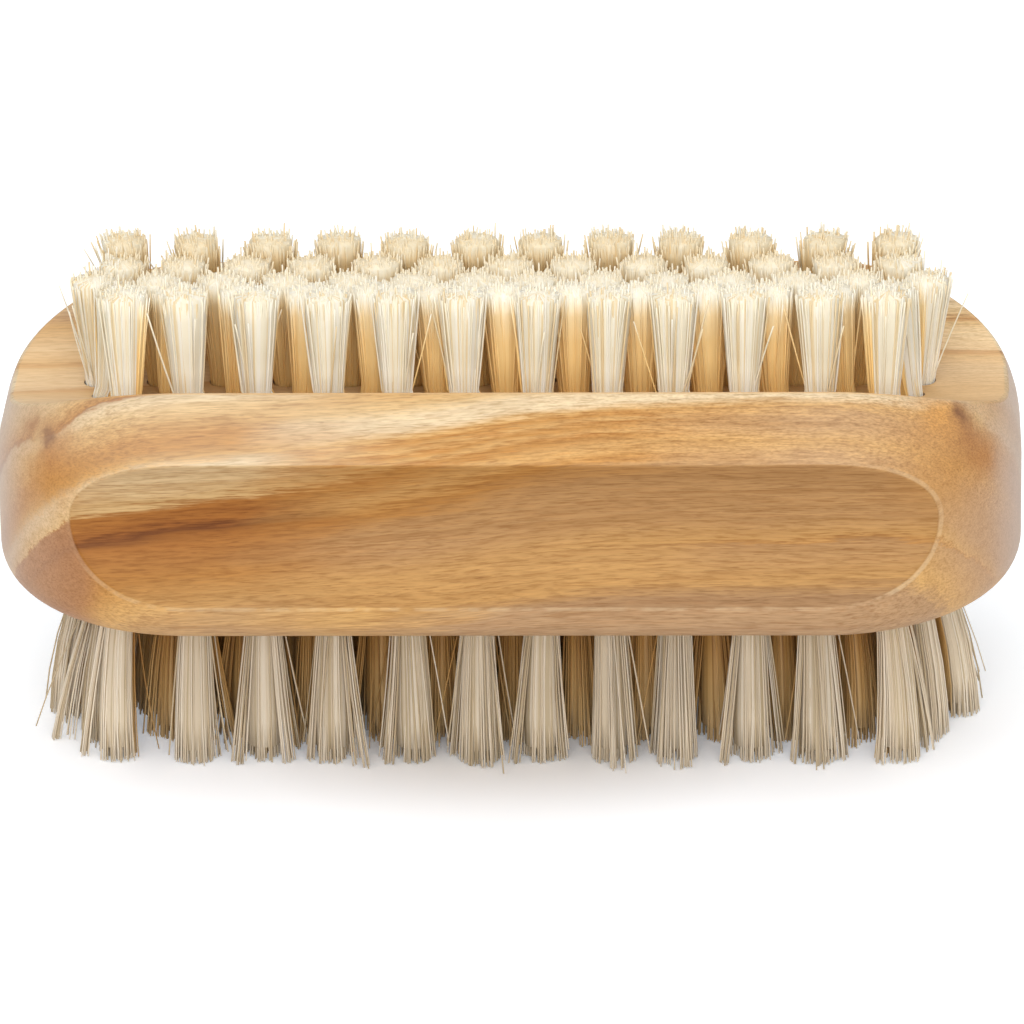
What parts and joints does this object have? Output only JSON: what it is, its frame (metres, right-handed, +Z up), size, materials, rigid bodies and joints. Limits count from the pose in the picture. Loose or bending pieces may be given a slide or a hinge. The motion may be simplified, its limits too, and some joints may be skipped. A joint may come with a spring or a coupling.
{
  "type": "nail brush",
  "caption": "Two-sided wooden nail brush: short bristle tufts in a hollowed top, longer tufts below, rounded ends and a finger groove along each long side.",
  "frame": {"origin": "on the surface that the lower bristle tips stand on, below the middle of the block", "axes": "+X along the block, +Y from the front long side to the back one, +Z up through the short bristles"},
  "size_m": [0.095, 0.044, 0.0453],
  "materials": {
    "olive_wood": "oiled, satin, streaked grain",
    "upper_bristle": "stiff natural bristle, cream",
    "lower_bristle": "natural bristle, beige",
    "anchor_strip": "drawn flat wire"
  },
  "bodies": {
    "root": {"wood_block": "olive_wood", "upper_tufts_row_1": "upper_bristle", "upper_anchors_row_1": "anchor_strip", "upper_tufts_row_2": "upper_bristle", "upper_anchors_row_2": "anchor_strip", "upper_tufts_row_3": "upper_bristle", "upper_anchors_row_3": "anchor_strip", "upper_tufts_row_4": "upper_bristle", "upper_anchors_row_4": "anchor_strip", "upper_tufts_row_5": "upper_bristle", "upper_anchors_row_5": "anchor_strip", "lower_tufts_row_1": "lower_bristle", "lower_anchors_row_1": "anchor_strip", "lower_tufts_row_2": "lower_bristle", "lower_anchors_row_2": "anchor_strip", "lower_tufts_row_3": "lower_bristle", "lower_anchors_row_3": "anchor_strip", "lower_tufts_row_4": "lower_bristle", "lower_anchors_row_4": "anchor_strip", "lower_tufts_row_5": "lower_bristle", "lower_anchors_row_5": "anchor_strip"}
  },
  "joints": []
}
